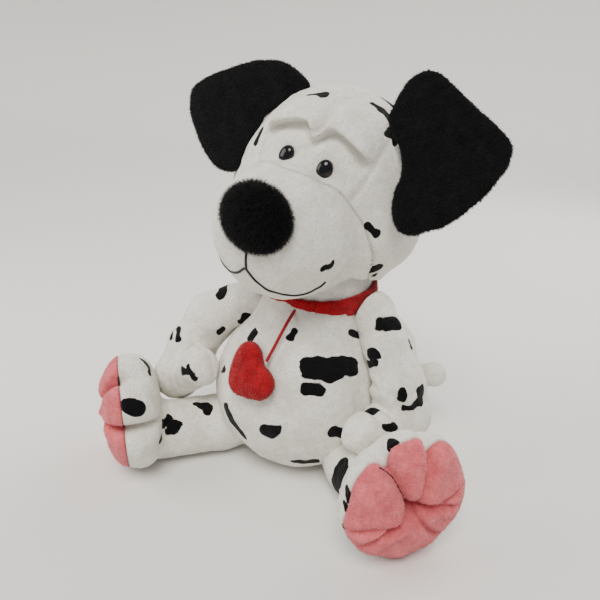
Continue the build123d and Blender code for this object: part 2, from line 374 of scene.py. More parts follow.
def waves(p, wavelength, seed):
    """Gentle lumps of about one unit, the same each run."""
    random = np.random.default_rng(seed)
    total = np.zeros(len(p))
    for _ in range(LUMP_WAVES):
        direction = unit(random.normal(size=3))
        stretch = random.uniform(0.75, 1.35)
        phase = random.uniform(0, 2 * math.pi)
        total += np.sin(2 * math.pi * stretch * (p @ direction) / wavelength + phase)
    return total / math.sqrt(LUMP_WAVES)


# ---- Meshing ----
CORNERS = [(i, j, k) for i in (0, 1) for j in (0, 1) for k in (0, 1)]


def surface_net(values, low, cell):
    """Quads around the zero level of a grid of values."""
    inside = values < 0
    nx, ny, nz = (n - 1 for n in values.shape)
    count = np.zeros((nx, ny, nz), np.int8)
    for i, j, k in CORNERS:
        count += inside[i:nx + i, j:ny + j, k:nz + k]
    active = (count > 0) & (count < 8)
    index = np.full(active.shape, -1, np.int64)
    index[active] = np.arange(active.sum())
    cells = np.argwhere(active)
    total, hits = np.zeros((len(cells), 3)), np.zeros(len(cells))
    for axis in range(3):
        for corner in CORNERS:
            if corner[axis]:
                continue
            other = list(corner)
            other[axis] = 1
            near = values[tuple((cells + corner).T)]
            far = values[tuple((cells + other).T)]
            crossing = (near < 0) != (far < 0)
            point = np.array(corner, float)[None].repeat(len(cells), 0)
            point[:, axis] = near / np.where(crossing, near - far, 1)
            total[crossing] += point[crossing]
            hits[crossing] += 1
    points = low + cell * (cells + total / hits[:, None])
    faces = []
    for axis in range(3):
        u, w = (axis + 1) % 3, (axis + 2) % 3
        ahead = [slice(None)] * 3
        behind = [slice(None)] * 3
        ahead[axis], behind[axis] = slice(1, None), slice(None, -1)
        change = inside[tuple(behind)] != inside[tuple(ahead)]
        edges = np.argwhere(change)
        keep = (edges[:, u] > 0) & (edges[:, w] > 0)
        limit = [nx, ny, nz]
        keep &= (edges[:, u] < limit[u]) & (edges[:, w] < limit[w])
        edges = edges[keep]
        ring = []
        for du, dw in ((1, 1), (0, 1), (0, 0), (1, 0)):
            around = edges.copy()
            around[:, u] -= du
            around[:, w] -= dw
            ring.append(index[tuple(around.T)])
        quads = np.stack(ring, 1)
        outward = inside[tuple(behind)][tuple(edges.T)]
        quads[~outward] = quads[~outward][:, ::-1]
        faces.append(quads)
    return points, np.concatenate(faces)


def slope(field, p, h=0.25):
    """Gradient of a field."""
    parts = []
    for axis in range(3):
        shift = np.zeros(3)
        shift[axis] = h
        parts.append((field(p + shift) - field(p - shift)) / (2 * h))
    return np.stack(parts, 1)


def settle(field, p, rounds=2, most=1.0):
    """Moves points onto a field's zero level."""
    for _ in range(rounds):
        gradient = slope(field, p)
        size = (gradient ** 2).sum(1) + 1e-6
        move = -(field(p) / size)[:, None] * gradient
        reach = np.linalg.norm(move, axis=1, keepdims=True) + 1e-9
        p = p + move * np.minimum(1, most / reach)
    return p


def mesh_field(field, low, high, cell):
    """Points and quads of a field's zero level inside a box."""
    low, high = np.array(low, float), np.array(high, float)
    size = np.ceil((high - low) / cell).astype(int) + 1
    axes = [low[i] + cell * np.arange(size[i]) for i in range(3)]
    grid = np.stack(np.meshgrid(*axes, indexing="ij"), -1).reshape(-1, 3)
    points, faces = surface_net(field(grid).reshape(size), low, cell)
    return settle(field, points, most=0.4 * cell), faces


# ---- Pieces ----
def add_piece(name, points, faces, slot, painted_shade=0.0, spot=None, body=None, replaced=()):
    """A fabric piece from points in millimetres.  A piece that names no body is attached to none."""
    mesh = bpy.data.meshes.new(name)
    mesh.from_pydata((points * MM).tolist(), [], faces.tolist())
    mesh.shade_smooth()
    rest = mesh.attributes.new("rest", "FLOAT_VECTOR", "POINT")
    rest.data.foreach_set("vector", (points * MM).astype(np.float32).ravel())
    # Besides the printed spots, each point carries a painted shade value that the materials darken it by.
    values = {"painted_shade": painted_shade} if spot is None else {"spot": spot, "painted_shade": painted_shade}
    for key, value in values.items():
        attribute = mesh.attributes.new(key, "FLOAT", "POINT")
        attribute.data.foreach_set("value", (np.zeros(len(points)) + value).astype(np.float32))
    piece = link(name, mesh, slot, body, replaced)
    return piece


def bend(piece, body, joint, before, after):
    """Bakes the piece's place into its mesh; body, joint, before and after are not used."""
    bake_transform(piece)


def normals_of(points, faces):
    """Unit normal at each point of a quad mesh."""
    a, b, c, d = (points[faces[:, i]] for i in range(4))
    face_normals = np.cross(c - a, d - b)
    normals = np.zeros_like(points)
    for i in range(4):
        np.add.at(normals, faces[:, i], face_normals)
    return normals / (np.linalg.norm(normals, axis=1, keepdims=True) + 1e-9)


STRAND_ROOT = 0.4           # how deep a strand starts under the surface


def pile(name, points, faces, slot, body, per_mm2, length, width, comb, seed, droop=0.35, keep=None):
    """Strands of pile all over a quad mesh: slim closed spikes, combed one way."""
    random = np.random.default_rng(seed)
    a, b, c, d = (points[faces[:, i]] for i in range(4))
    area = 0.5 * np.linalg.norm(np.cross(c - a, d - b), axis=1)
    if keep is not None:
        area = area * keep(points[faces].mean(1))
    number = int(area.sum() * per_mm2)
    chosen = random.choice(len(faces), number, p=area / area.sum())
    u, v = random.random((2, number, 1))
    root = (a[chosen] * (1 - u) + b[chosen] * u) * (1 - v) + (d[chosen] * (1 - u) + c[chosen] * u) * v
    normal = normals_of(points, faces)[faces[chosen]].mean(1)
    way = np.array(comb, float) + droop * random.normal(size=(number, 3))
    way = way - (way * normal).sum(1, keepdims=True) * normal
    heading = normal + way
    heading /= np.linalg.norm(heading, axis=1, keepdims=True)
    bend = 0.35 * way
    reach = length * random.uniform(0.65, 1.1, (number, 1))
    side = np.cross(heading, random.normal(size=(number, 3)))
    side /= np.linalg.norm(side, axis=1, keepdims=True)
    other = np.cross(heading, side)
    corners = [0.5 * width * (math.cos(t) * side + math.sin(t) * other)
               for t in (0.0, 2 * math.pi / 3, 4 * math.pi / 3)]
    root = root - STRAND_ROOT * normal
    rings = [root + corner for corner in corners]
    middle = root + 0.55 * reach * heading
    rings += [middle + 0.8 * corner for corner in corners]
    tip = root + reach * (heading + bend)
    rings.append(tip)
    spikes = np.stack(rings, 1).reshape(-1, 3)
    start = 7 * np.arange(number)[:, None]
    triangles = np.array([(0, 2, 1), (3, 4, 6), (4, 5, 6), (5, 3, 6)])
    quads = np.array([(0, 1, 4, 3), (1, 2, 5, 4), (2, 0, 3, 5)])
    all_faces = (start[:, :, None] + triangles[None]).reshape(-1, 3).tolist()
    all_faces += (start[:, :, None] + quads[None]).reshape(-1, 4).tolist()
    mesh = bpy.data.meshes.new(name)
    mesh.from_pydata((spikes * MM).tolist(), [], all_faces)
    mesh.shade_smooth()
    return link(name, mesh, slot, body, material=STRANDS[slot])


SPOT_SPREAD = 1.1           # how far a spot reaches past its strokes


def spot_field(p, spots, seed=5):
    """Distance in millimetres outside the nearest spot, negative inside."""
    ragged = p + 0.7 * np.stack([waves(p, 9, seed + axis) for axis in range(3)], 1)
    best = np.full(len(p), 50.0)
    for a, b, radius_a, radius_b in spots:
        best = np.minimum(best, tube(ragged, a, radius_a, b, radius_b))
    return best - SPOT_SPREAD


# ---- Floor and light ----
LAMPS_AIM_AT = (0, 0, 110)


def make_studio():
    """A pale floor that sweeps up behind, a broad lamp overhead and two weak ones."""
    arc = [(0.9 + 0.5 * math.sin(t), 0.5 - 0.5 * math.cos(t)) for t in np.linspace(0, 0.5 * math.pi, 13)]
    line = [(-3.0, 0.0), (0.0, 0.0), *arc, (1.4, 3.0)]
    points = [(x, y, z) for y, z in line for x in (-4.0, 4.0)]
    floor_mesh = bpy.data.meshes.new("floor")
    floor_mesh.from_pydata(points, [], [(2 * i, 2 * i + 1, 2 * i + 3, 2 * i + 2)
                                        for i in range(len(line) - 1)])
    floor_mesh.shade_smooth()
    floor = new_object("floor", floor_mesh)
    shade = Shade("floor", roughness=0.85, specular=0.1)
    shade.shader.inputs["Base Color"].default_value = rgb(0.80, 0.79, 0.765)
    floor_mesh.materials.append(shade.material)
    floor.location.z = -0.0005
    world = bpy.data.worlds.new("studio")
    bpy.context.scene.world = world
    world.use_nodes = True
    world.node_tree.nodes["Background"].inputs["Color"].default_value = rgb(0.90, 0.92, 0.97)
    world.node_tree.nodes["Background"].inputs["Strength"].default_value = 0.42
    sun = new_object("overhead", bpy.data.lights.new("overhead", "SUN"))
    sun.data.energy = 2.7
    sun.data.angle = math.radians(28)
    sun.data.color = (1.0, 0.965, 0.90)
    aim(sun, (150, -420, 900), LAMPS_AIM_AT)
    lamps = (("left", (-560, -320, 520), 0.5, 3.2, (1.0, 0.97, 0.93)),
             ("back", (250, 560, 520), 0.6, 3.0, (1.0, 0.99, 0.97)))
    for name, place, size, power, tone in lamps:
        lamp = new_object(name, bpy.data.lights.new(name, "AREA"))
        lamp.data.size = size
        lamp.data.energy = power
        lamp.data.color = tone
        aim(lamp, place, LAMPS_AIM_AT)


# ---- Heart cord, first of the pieces ----
CORD_D = 2.2
CORD_ROUTE = [(5, -19.2, 119), (4.6, -26.8, 115.8), (3.2, -34.8, 109.4), (1.2, -41.8, 101.4),
              (-1.4, -48, 93.4)]


def make_cord():
    curve, spline = round_curve("heart_cord_line", "NURBS", CORD_ROUTE, 0.5 * CORD_D, 4)
    spline.order_u = 3
    spline.use_endpoint_u = True
    spline.resolution_u = 10
    return link("heart_cord_line", curve, "red_cord", "heart_cord", ["heart_cord"])


cord = make_cord()


# ---- Head ----
HEAD_AT = np.array([7.0, 38.0, 196.0])
HEAD_TURN = turn_matrix(-5, 14, -2)
CROWN_RADII = (60.0, 57.5, 58.0)
CHEEK_AT = np.array([18.0, -2.5, -18.5])
CHEEK_R = 49.5
NECK = joint_place("head_nod")
NECK_IN_HEAD = (NECK - HEAD_AT) @ HEAD_TURN
SOCKET_R = 41.5             # the head's underside is this far from the neck's middle, to clear the collar
MUZZLE_AT = np.array([0.0, -58.0, -29.0])
MUZZLE_RADII = (44.5, 43.0, 41.8)
MUZZLE_AXIS = unit(MUZZLE_AT)
MUZZLE_SEAM = 45.0          # how far out along its axis the muzzle's seam lies
BRIDGE_FORWARD = 13.0       # how much further forward that seam runs over the bridge of the nose
EYE_AT = np.array([13.2, -54.7, 14.5])
NOSE_AT = np.array([0.0, -100.0, -12.5])
NOSE_RADII = (19.5, 9.0, 17.5)
SIDE_SEAM = [(37, 23), (35, 10), (31, -4)]
CROWN_SEAM = [(37, 23), (37, 36), (30, 50)]
MOUTH_STEM = [(0, -100, -33), (0, -99, -39), (0.6, -97.5, -44.5)]
MOUTH_SIDE = [(0.6, -97.5, -44.5), (5, -95, -50), (13, -90, -55.5), (24, -81, -58), (33, -75, -52),
              (39, -72, -42)]
MOUTH_THREAD_R = 0.85
STITCH = 1.2                # spacing of the points along a thread
SEWN_EDGE = 1.6             # how softly a piece rounds over at its seam
CHEEK_MARK = [(37.5, -79, -33.5), (41.5, -74, -29.5)]


def to_world(p):
    """From the head's own frame to the row frame."""
    return HEAD_AT + np.asarray(p, float) @ HEAD_TURN.T


def over_brow(p):
    """Height above the brow's lower edge: an arch with a wedge that points down in the middle."""
    x = p[:, 0] - 1.0
    return p[:, 2] - (36.5 - 14.0 * (x / 37) ** 2 - 8.0 * bell(x, 5.0))


def face_share(p):
    """1 on the front of the head, 0 from its middle back."""
    return step(-p[:, 1], 15, 35)


def brow_reach(p):
    """1 along the brow, fading out at its two ends."""
    return step(39 - np.abs(p[:, 0]), 0, 9)


def face_seam(p):
    """Distance from the seams that run up the face, seen from the front."""
    face = np.stack([np.abs(p[:, 0]), p[:, 2]], 1)
    return np.minimum(to_line(face, SIDE_SEAM), to_line(face, CROWN_SEAM))


def seam_share(p):
    """1 on the face above the muzzle, where those seams show."""
    return face_share(p) * step(-muzzle_share(p), -1, 3)


def head_shape(p):
    """Crown, cheeks and muzzle as one soft shape, in the head's frame."""
    crown = ball(p, (0, 0, 0), CROWN_RADII)
    for side in (-1, 1):
        crown = join(crown, ball(p, CHEEK_AT * (side, 1, 1), (CHEEK_R,) * 3), 7)
    crown = join(crown, tube(p, (0, 4, -12), 49, NECK_IN_HEAD + (0, 0, 9), 40), 6)
    muzzle = ball(p, MUZZLE_AT, MUZZLE_RADII)
    shape = join(crown, muzzle, 9)
    over = over_brow(p)
    reach = brow_reach(p)
    roll = step(over, -1.6, 2.6) * np.exp(-np.maximum(0, over - 4.5) ** 2 / 85)
    notch = 0.85 * bell(p[:, 0] - 1.0 - 0.10 * over, 2.4) * step(over, 1, 4) * step(19 - over, 0, 6)
    lift = 6.6 * roll * (1 - notch) * reach
    hollow = 2.0 * bell(over + 3.0, 4.0) * reach
    shape = shape - face_share(p) * (lift - hollow)
    seam = face_seam(p)
    shape = shape + seam_share(p) * (1.1 * bell(seam, 1.2) - 0.45 * bell(seam - 3.5, 2.2))
    for side in (-1, 1):
        shape = shape + 1.6 * bell(np.linalg.norm(p - EYE_AT * (side, 1, 1), axis=1), 6.5)
    shape = shape + 0.45 * waves(p, 26, 11) + 0.12 * waves(p, 7, 12)
    return trim(shape, SOCKET_R - np.linalg.norm(p - NECK_IN_HEAD, axis=1), 3)


def muzzle_share(p):
    """Positive on the muzzle's side of its seam."""
    bridge = BRIDGE_FORWARD * bell(p[:, 0], 20) * step(p[:, 2], -14, 6)
    return p @ MUZZLE_AXIS - MUZZLE_SEAM - bridge


def head_painted_shade(p):
    """Painted shade where shade gathers in the seams, under the brow's lower edge and along the muzzle's
    seam.
    """
    seam = 0.4 * bell(face_seam(p), 0.9) * seam_share(p)
    brow = 0.5 * bell(over_brow(p) + 1.4, 1.9) * brow_reach(p) * face_share(p)
    return np.clip(seam + brow + 0.45 * bell(muzzle_share(p), 0.9), 0, 1)


# Each spot runs between two places and has a radius at each end.  Spots of the head and muzzle are in
# the head's frame, the rest in the part's.  The front's places were worked out by a scratch program that
# cast rays on to these pieces, and were rounded.  The back's are a guess in the same manner.
SPOTS = {
    "head": [
        ((-21, -27, 47), (-10, -30, 50), 1, 2.4), ((17, -17, 53), (23, -17, 51), 0.8, 2),
        ((23, -17, 51), (32, -15, 47), 2.2, 3.2), ((34, -26, 41), (36, -22, 41), 1.6, 3.2),
        ((37, -22, 40), (39, -23, 38), 3, 2), ((12, 2, 59), (24, 2, 54), 1, 2),
        ((-42, -38, 18), (-43, -40, 11), 2.2, 1.8), ((-34, -48, -6), (-34, -47, -8), 1.4, 1.3),
        ((37, -46, -10), (40, -42, -20), 1, 3.4), ((46, -43, -11), (51, -39, -14), 1.6, 2.1),
        ((49, -30, -42), (56, -28, -38), 2.1, 2), ((50, -24, -48), (55, -23, -45), 1.4, 0.9),
        ((57, -10, -16), (58, -8, -24), 1.5, 2), ((-30, 30, 40), (-22, 36, 36), 4, 5),
        ((20, 44, 30), (28, 42, 24), 5, 3), ((0, 54, 0), (6, 56, -8), 4, 4),
        ((-40, 36, -4), (-36, 40, -14), 4, 3), ((44, 30, -10), (46, 26, -18), 3, 4),
        ((-12, 10, 56), (-4, 14, 57), 2, 3), ((-50, 4, -22), (-48, -4, -28), 3, 2.4),
        ((30, 40, -36), (22, 44, -38), 3, 3), ((-16, 50, -34), (-24, 46, -36), 3, 2),
    ],
    "muzzle": [(CHEEK_MARK[0], CHEEK_MARK[1], 0.9, 0.9)],
    "body": [
        ((-22, -29, 101), (-20, -35, 91), 2.4, 2.6), ((8, -28, 108), (7, -30, 104), 1.4, 1.3),
        ((22, -38, 92), (45, -20, 87), 4.2, 5.4), ((24, -40, 87), (37, -31, 86), 2.5, 5.5),
        ((25, -44, 78), (32, -40, 77), 2.8, 2.8), ((39, -6, 104), (43, 2, 99), 1.1, 1.4),
        ((43, 9, 101), (45, 14, 104), 3, 3), ((-32, -51, 52), (-25, -51, 41), 2.5, 3.2),
        ((-25, -51, 41), (-19, -51, 34), 3.2, 2.1), ((4, -58, 48), (12, -57, 52), 4.2, 1.8),
        ((43, -42, 50), (48, -38, 48), 2, 3), ((18, -46, 21), (30, -40, 21), 2.2, 2.6),
        ((41, 24, 112), (41, 28, 116), 0.9, 1.2), ((-40, -36, 70), (-44, -30, 62), 2, 3),
        ((-56, 20, 50), (-52, 30, 44), 4, 5), ((-40, 42, 70), (-34, 46, 74), 5, 3.5),
        ((0, 56, 60), (12, 56, 64), 5, 4), ((40, 44, 48), (34, 46, 40), 4, 5),
        ((50, 26, 76), (48, 30, 84), 3, 5), ((-20, 48, 92), (-12, 52, 90), 4, 3),
        ((-24, 52, 32), (-16, 54, 28), 3, 4), ((24, 50, 88), (28, 46, 96), 3, 4),
        ((58, 14, 30), (54, 24, 26), 4, 3), ((-50, -30, 26), (-54, -22, 30), 3, 3),
    ],
    "arm_left": [
        ((59, -4, 114), (66, -1, 114), 4, 4.4), ((55, -14, 96), (60, -15, 97), 2.2, 2.2),
        ((54, -14, 88), (60, -16, 91), 2, 1.4), ((78, -1, 105), (80, -1, 100), 0.9, 0.9),
        ((55, -30, 67), (57, -30, 63), 1.6, 2.1), ((60, -29, 61), (66, -29, 65), 2.4, 2.5),
        ((81, -24, 75), (82, -23, 79), 2.1, 2.2), ((90, -13, 77), (91, -15, 71), 3, 3.2),
        ((91, -15, 71), (83, -23, 68), 3.2, 1.3), ((76, -35, 59), (81, -31, 58), 1.6, 1.3),
        ((70, 18, 104), (76, 14, 98), 3, 4), ((86, 8, 70), (88, 6, 62), 4, 3),
        ((92, 0, 50), (90, 6, 46), 3, 3),
    ],
    "arm_right": [
        ((-60, -3, 116), (-59, -9, 114), 2.6, 3.6), ((-39, -9, 101), (-43, -10, 96), 2, 1.4),
        ((-55, -16, 91), (-57, -16, 87), 1, 0.9), ((-88, -22, 86), (-85, -29, 81), 1.5, 2.4),
        ((-94, -22, 82), (-92, -26, 79), 1, 0.9), ((-66, -51, 71), (-60, -52, 73), 2, 1.8),
        ((-61, -51, 76), (-60, -52, 73), 1.2, 1.5), ((-59, -52, 73), (-55, -51, 68), 1.6, 1.1),
        ((-88, -6, 58), (-92, -10, 52), 3, 3.5), ((-68, 12, 102), (-74, 12, 94), 3, 4),
        ((-100, -22, 60), (-102, -26, 54), 2, 3),
    ],
    "leg_left": [
        ((54, -51, 31), (50, -53, 17), 5.5, 4.8), ((92, -75, 79), (93, -79, 78), 2.6, 2.2),
        ((74, -94, 55), (77, -97, 51), 1.4, 1.8), ((73, -96, 47), (77, -97, 43), 1, 1.6),
        ((76, -97, 34), (80, -93, 23), 1.3, 1.8), ((106, -46, 60), (108, -44, 52), 4, 3),
        ((88, -30, 30), (84, -28, 24), 4, 3), ((98, -50, 14), (102, -48, 20), 3, 3),
    ],
    "leg_right": [
        ((-94, -58, 78), (-89, -59, 75), 1, 1.2), ((-89, -59, 75), (-82, -65, 73), 1.2, 0.8),
        ((-98, -75, 72), (-95, -75, 71), 1, 0.8), ((-79, -92, 64), (-74, -90, 62), 4.4, 4.4),
        ((-72, -62, 38), (-72, -69, 37), 1.5, 2.2), ((-67, -63, 33), (-68, -78, 30), 3.9, 1.2),
        ((-63, -43, 41), (-55, -40, 40), 1.4, 2.3), ((-55, -40, 40), (-53, -43, 37), 2.1, 1.7),
        ((-106, -40, 60), (-108, -42, 52), 4, 3), ((-88, -28, 30), (-84, -24, 24), 4, 3),
    ],
    "tail": [((44, 76, 38), (50, 74, 42), 3, 2), ((22, 80, 30), (16, 76, 34), 2.5, 3)],
}


def make_head():
    def crown(p):
        return trim(head_shape(p), muzzle_share(p), SEWN_EDGE)

    def muzzle(p):
        return trim(head_shape(p), -muzzle_share(p), SEWN_EDGE)

    for name, field, low, high, replaced in (
            ("head_plush", crown, (-70, -92, -74), (70, 66, 68),
             ("head_cover", "face_panel", "brow_fold", "head_stuffing")),
            ("muzzle_plush", muzzle, (-66, -106, -80), (66, -4, 22),
             ("muzzle_cover", "muzzle_stuffing"))):
        points, faces = mesh_field(field, low, high, 1.5)
        spots = SPOTS["head" if name == "head_plush" else "muzzle"]
        add_piece(name, to_world(points), faces, "white_plush", head_painted_shade(points),
                  spot_field(points, spots), "head", replaced)


def thread_line(name, points, replaced=()):
    """A sewn thread that lies on the head's surface: a slim round tube."""
    places = np.array(points, float)
    runs = np.linalg.norm(np.diff(places, axis=0), axis=1)
    marks = np.concatenate([[0], np.cumsum(runs)])
    ticks = np.linspace(0, marks[-1], max(8, int(marks[-1] / STITCH)))
    line = np.stack([np.interp(ticks, marks, places[:, i]) for i in range(3)], 1)
    for _ in range(3):
        line[1:-1] = 0.25 * line[:-2] + 0.5 * line[1:-1] + 0.25 * line[2:]
    line = settle(head_shape, line, rounds=6, most=4.0)
    curve, _ = round_curve(name, "POLY", to_world(line), MOUTH_THREAD_R)
    link(name, curve, "black_thread", "head", replaced)


def make_mouth():
    thread_line("mouth_thread_stem", MOUTH_STEM, ["mouth_thread"])
    for side, name in ((1, "left"), (-1, "right")):
        thread_line(f"mouth_thread_{name}", [(side * x, y, z) for x, y, z in MOUTH_SIDE])


def make_nose():
    def pad(p):
        return ball(p, NOSE_AT, NOSE_RADII)

    points, faces = mesh_field(pad, NOSE_AT - 26, NOSE_AT + 26, 1.2)
    add_piece("nose_pad", to_world(points), faces, "black_fur", body="head",
              replaced=("nose_cover", "nose_stuffing"))
    comb = HEAD_TURN @ np.array([0.0, -0.1, -0.25])
    pile("nose_fur", to_world(points), faces, "black_fur", "head", per_mm2=5.0, length=5.2,
         width=0.34, comb=comb, seed=3, droop=0.38)


EYE_RADII = (4.9, 6.0, 3.1)
EYE_RINGS, EYE_SPOKES = 18, 40
EYE_RIM = [(1.03, -0.12), (1.0, -0.32), (0.7, -0.75), (0.35, -1.1)]


def make_eye(side, name):
    """An oval domed eye with a rolled rim, set square to the crown."""
    centre = EYE_AT * (side, 1, 1)
    outward = unit(np.array(centre) / np.array(CROWN_RADII) ** 2)
    up = unit(np.array([0.10, 0, 1.0]) - outward * (outward @ np.array([0.10, 0, 1.0])))
    across = np.cross(up, outward)
    points, faces = [], []
    profile = [(math.sin(t), math.cos(t)) for t in np.linspace(0.0, 0.5 * math.pi, EYE_RINGS)]
    profile += EYE_RIM
    for ring, (reach, height) in enumerate(profile):
        for spoke in range(EYE_SPOKES):
            angle = 2 * math.pi * spoke / EYE_SPOKES
            wide, high = math.cos(angle) * EYE_RADII[0], math.sin(angle) * EYE_RADII[1]
            flat = reach * (wide * across + high * up)
            points.append(centre + flat + outward * (height * EYE_RADII[2] - 0.2))
            if ring:
                here = ring * EYE_SPOKES + spoke
                after = ring * EYE_SPOKES + (spoke + 1) % EYE_SPOKES
                faces.append((here - EYE_SPOKES, after - EYE_SPOKES, after, here))
    last = len(profile) - 1
    faces.append([last * EYE_SPOKES + spoke for spoke in range(EYE_SPOKES)])
    mesh = bpy.data.meshes.new(f"eye_{name}_dome")
    mesh.from_pydata((to_world(points) * MM).tolist(), [], faces)
    tidy = bmesh.new()
    tidy.from_mesh(mesh)
    bmesh.ops.remove_doubles(tidy, verts=tidy.verts, dist=1e-6)
    bmesh.ops.recalc_face_normals(tidy, faces=tidy.faces)
    tidy.to_mesh(mesh)
    tidy.free()
    mesh.shade_smooth()
    link(f"eye_{name}_dome", mesh, "eye_plastic", "head", [f"eye_{name}"])


# ---- Ears ----
# The points of each leaf were worked out by a scratch program, then thinned and moved a little by hand.
EARS = {
    "left": {"depth": -21.9, "root": (33.5, -20, 47.5), "curl": 7.0,
             "leaf": [(32, 3), (35, 27), (48, 36), (68, 27), (98, 15), (105, 3), (101, -18),
                      (91, -38), (72, -55), (61, -54), (54, -41), (52, -24), (44, -9)]},
    "right": {"depth": -13.9, "root": (-33.5, -14, 48.5), "curl": 6.0,
              "leaf": [(-28, 3), (-44, 10), (-61, 10), (-79, 2), (-102, -15), (-109, -27),
                       (-101, -42), (-79, -61), (-66, -66), (-54, -61), (-52, -40), (-49, -22),
                       (-38, -8)]},
}
EAR_SLOPE = 0.35            # how far an ear's plane leans back per millimetre of height
EAR_HALF = 3.3              # half thickness in the middle of an ear
EAR_RIM = 1.3               # half thickness along its edge


def round_outline(points, per_run=6):
    """Closed smooth outline through a ring of points (Catmull-Rom)."""
    points = np.array(points, float)
    ring = []
    for i in range(len(points)):
        a, b, c, d = (points[(i + k - 1) % len(points)] for k in range(4))
        for t in np.arange(per_run) / per_run:
            ring.append(0.5 * (2 * b + (c - a) * t + (2 * a - 5 * b + 4 * c - d) * t * t
                               + (3 * b - a - 3 * c + d) * t ** 3))
    return np.array(ring)


def outline_distance(q, ring):
    """Signed distance to a closed outline in the plane, negative inside."""
    best = np.full(len(q), 1e9)
    inside = np.zeros(len(q), bool)
    for a, b in zip(ring, np.roll(ring, -1, axis=0)):
        best = np.minimum(best, along(q, a, b)[1])
        crosses = (a[1] > q[:, 1]) != (b[1] > q[:, 1])
        rise = b[1] - a[1] if abs(b[1] - a[1]) > 1e-9 else 1e-9
        inside ^= crosses & (q[:, 0] < a[0] + (q[:, 1] - a[1]) / rise * (b[0] - a[0]))
    return np.where(inside, -best, best)


def make_ear(name):
    ear = EARS[name]
    normal = unit((0, -1, EAR_SLOPE))
    across = np.array([1.0, 0, 0])
    up = np.cross(normal, across)
    origin = np.array([0, ear["depth"], ear["root"][2] - 1.5])
    axes = np.stack([across, up, normal], 1)
    ring = round_outline(ear["leaf"])
    side = 1 if name == "left" else -1
    middle = ring[:, 1].mean()

    def leaf(q):
        """The ear in its own plane: a thin pillow that curls a little."""
        edge = outline_distance(q[:, :2], ring)
        out = side * q[:, 0]
        curl = ear["curl"] * (0.5 - ((out - 34) / 76) ** 2 + 0.004 * (q[:, 1] - middle))
        ripple = 0.9 * np.sin(out / 15 + 0.4) * np.cos(q[:, 1] / 21 + 0.7)
        height = q[:, 2] - 0.55 * curl - ripple
        thick = EAR_RIM + (EAR_HALF - EAR_RIM) * np.sqrt(np.clip(-edge / 11, 0, 1))
        seam = 0.7 * bell(height, 0.8) * step(-edge, 3.5, 0)
        outer = np.maximum(edge, 0)
        return np.sqrt(outer ** 2 + height ** 2) - thick + seam + 0.25 * waves(q, 14, 21)

    low = np.array([ring[:, 0].min() - 6, ring[:, 1].min() - 6, -10])
    high = np.array([ring[:, 0].max() + 6, ring[:, 1].max() + 6, 10])
    flat, faces = mesh_field(leaf, low, high, 1.3)
    points = to_world(origin + flat @ axes.T)
    edge = outline_distance(flat[:, :2], ring)
    body = f"ear_{name}"
    # Painted shade along the ear's sewn edge.
    add_piece(f"{body}_plush", points, faces, "black_plush",
              0.6 * bell(edge, 1.0) * bell(flat[:, 2], 1.5), body=body,
              replaced=(f"{body}_front", f"{body}_back"))
    comb = HEAD_TURN @ np.array([0.5 * side, 0, -0.8])
    pile(f"{body}_pile", points, faces, "black_plush", body, per_mm2=1.7, length=1.9,
         width=0.34, comb=comb, seed=31 + side, droop=0.5)


# ---- Body, collar and limbs ----
SEAT_HEIGHT = 0.3           # the toy's flat places stand this far above its lowest threads


def body_shape(p):
    """Belly, chest and a round neck that reaches into the head, flat under the seat."""
    belly = ball(p, (0, -0.5, 50), (62.5, 57.3, 55))
    chest = chain(p, [((1.5, 6, 78), 47), ((3.5, 14, 100), 38.5), ((5, 20, 120), 33)], 8)
    shape = join(belly, chest, 14)
    shape = join(shape, ball(p, NECK, (36, 36, 36)), 4)
    shape = shape + 0.4 * bell(p[:, 2] - 20 - 0.10 * p[:, 0], 2.2) * step(-p[:, 1], 10, 40)
    shape = shape + 0.55 * waves(p, 30, 41) + 0.15 * waves(p, 8, 42)
    return trim(shape, SEAT_HEIGHT - p[:, 2], 5)


def make_body():
    points, faces = mesh_field(body_shape, (-68, -64, -3), (68, 64, 164), 1.6)
    # Painted shade on the body just below and under the collar.
    collar_shade = 0.5 * bell(points[:, 2] - 118, 4) * step(points[:, 2], 100, 117)
    add_piece("body_plush", points, faces, "white_plush", collar_shade,
              spot_field(points, SPOTS["body"]), "body", ("body_cover", "body_stuffing"))


COLLAR_R, COLLAR_HALF_HEIGHT, COLLAR_HALF_T = 37.8, 6.4, 1.8
COLLAR_Z = 121.0


def make_collar():
    """A plush band, folded along both edges."""
    def band(p):
        q = p - (NECK[0], NECK[1], COLLAR_Z)
        reach = np.linalg.norm(q[:, :2], axis=1)
        angle = np.arctan2(q[:, 1], q[:, 0])
        out = reach - COLLAR_R - 0.25 * np.sin(5 * angle + 1)
        high = q[:, 2] - 0.03 * q[:, 1] - 0.4 * np.sin(2 * angle)
        rounded = 1.7
        dx = np.maximum(np.abs(out) - COLLAR_HALF_T + rounded, 0)
        dz = np.maximum(np.abs(high) - COLLAR_HALF_HEIGHT + rounded, 0)
        seam = 0.4 * bell(np.abs(high) - COLLAR_HALF_HEIGHT + 2.2, 0.7)
        return np.sqrt(dx ** 2 + dz ** 2) - rounded + seam + 0.15 * waves(p, 10, 51)

    centre = np.array([NECK[0], NECK[1], COLLAR_Z])
    points, faces = mesh_field(band, centre - (46, 46, 13), centre + (46, 46, 13), 1.2)
    add_piece("collar_band", points, faces, "red_plush", body="body", replaced=["collar"])
    pile("collar_pile", points, faces, "red_plush", "body", per_mm2=1.6, length=1.3,
         width=0.32, comb=(0, 0, -0.5), seed=52)


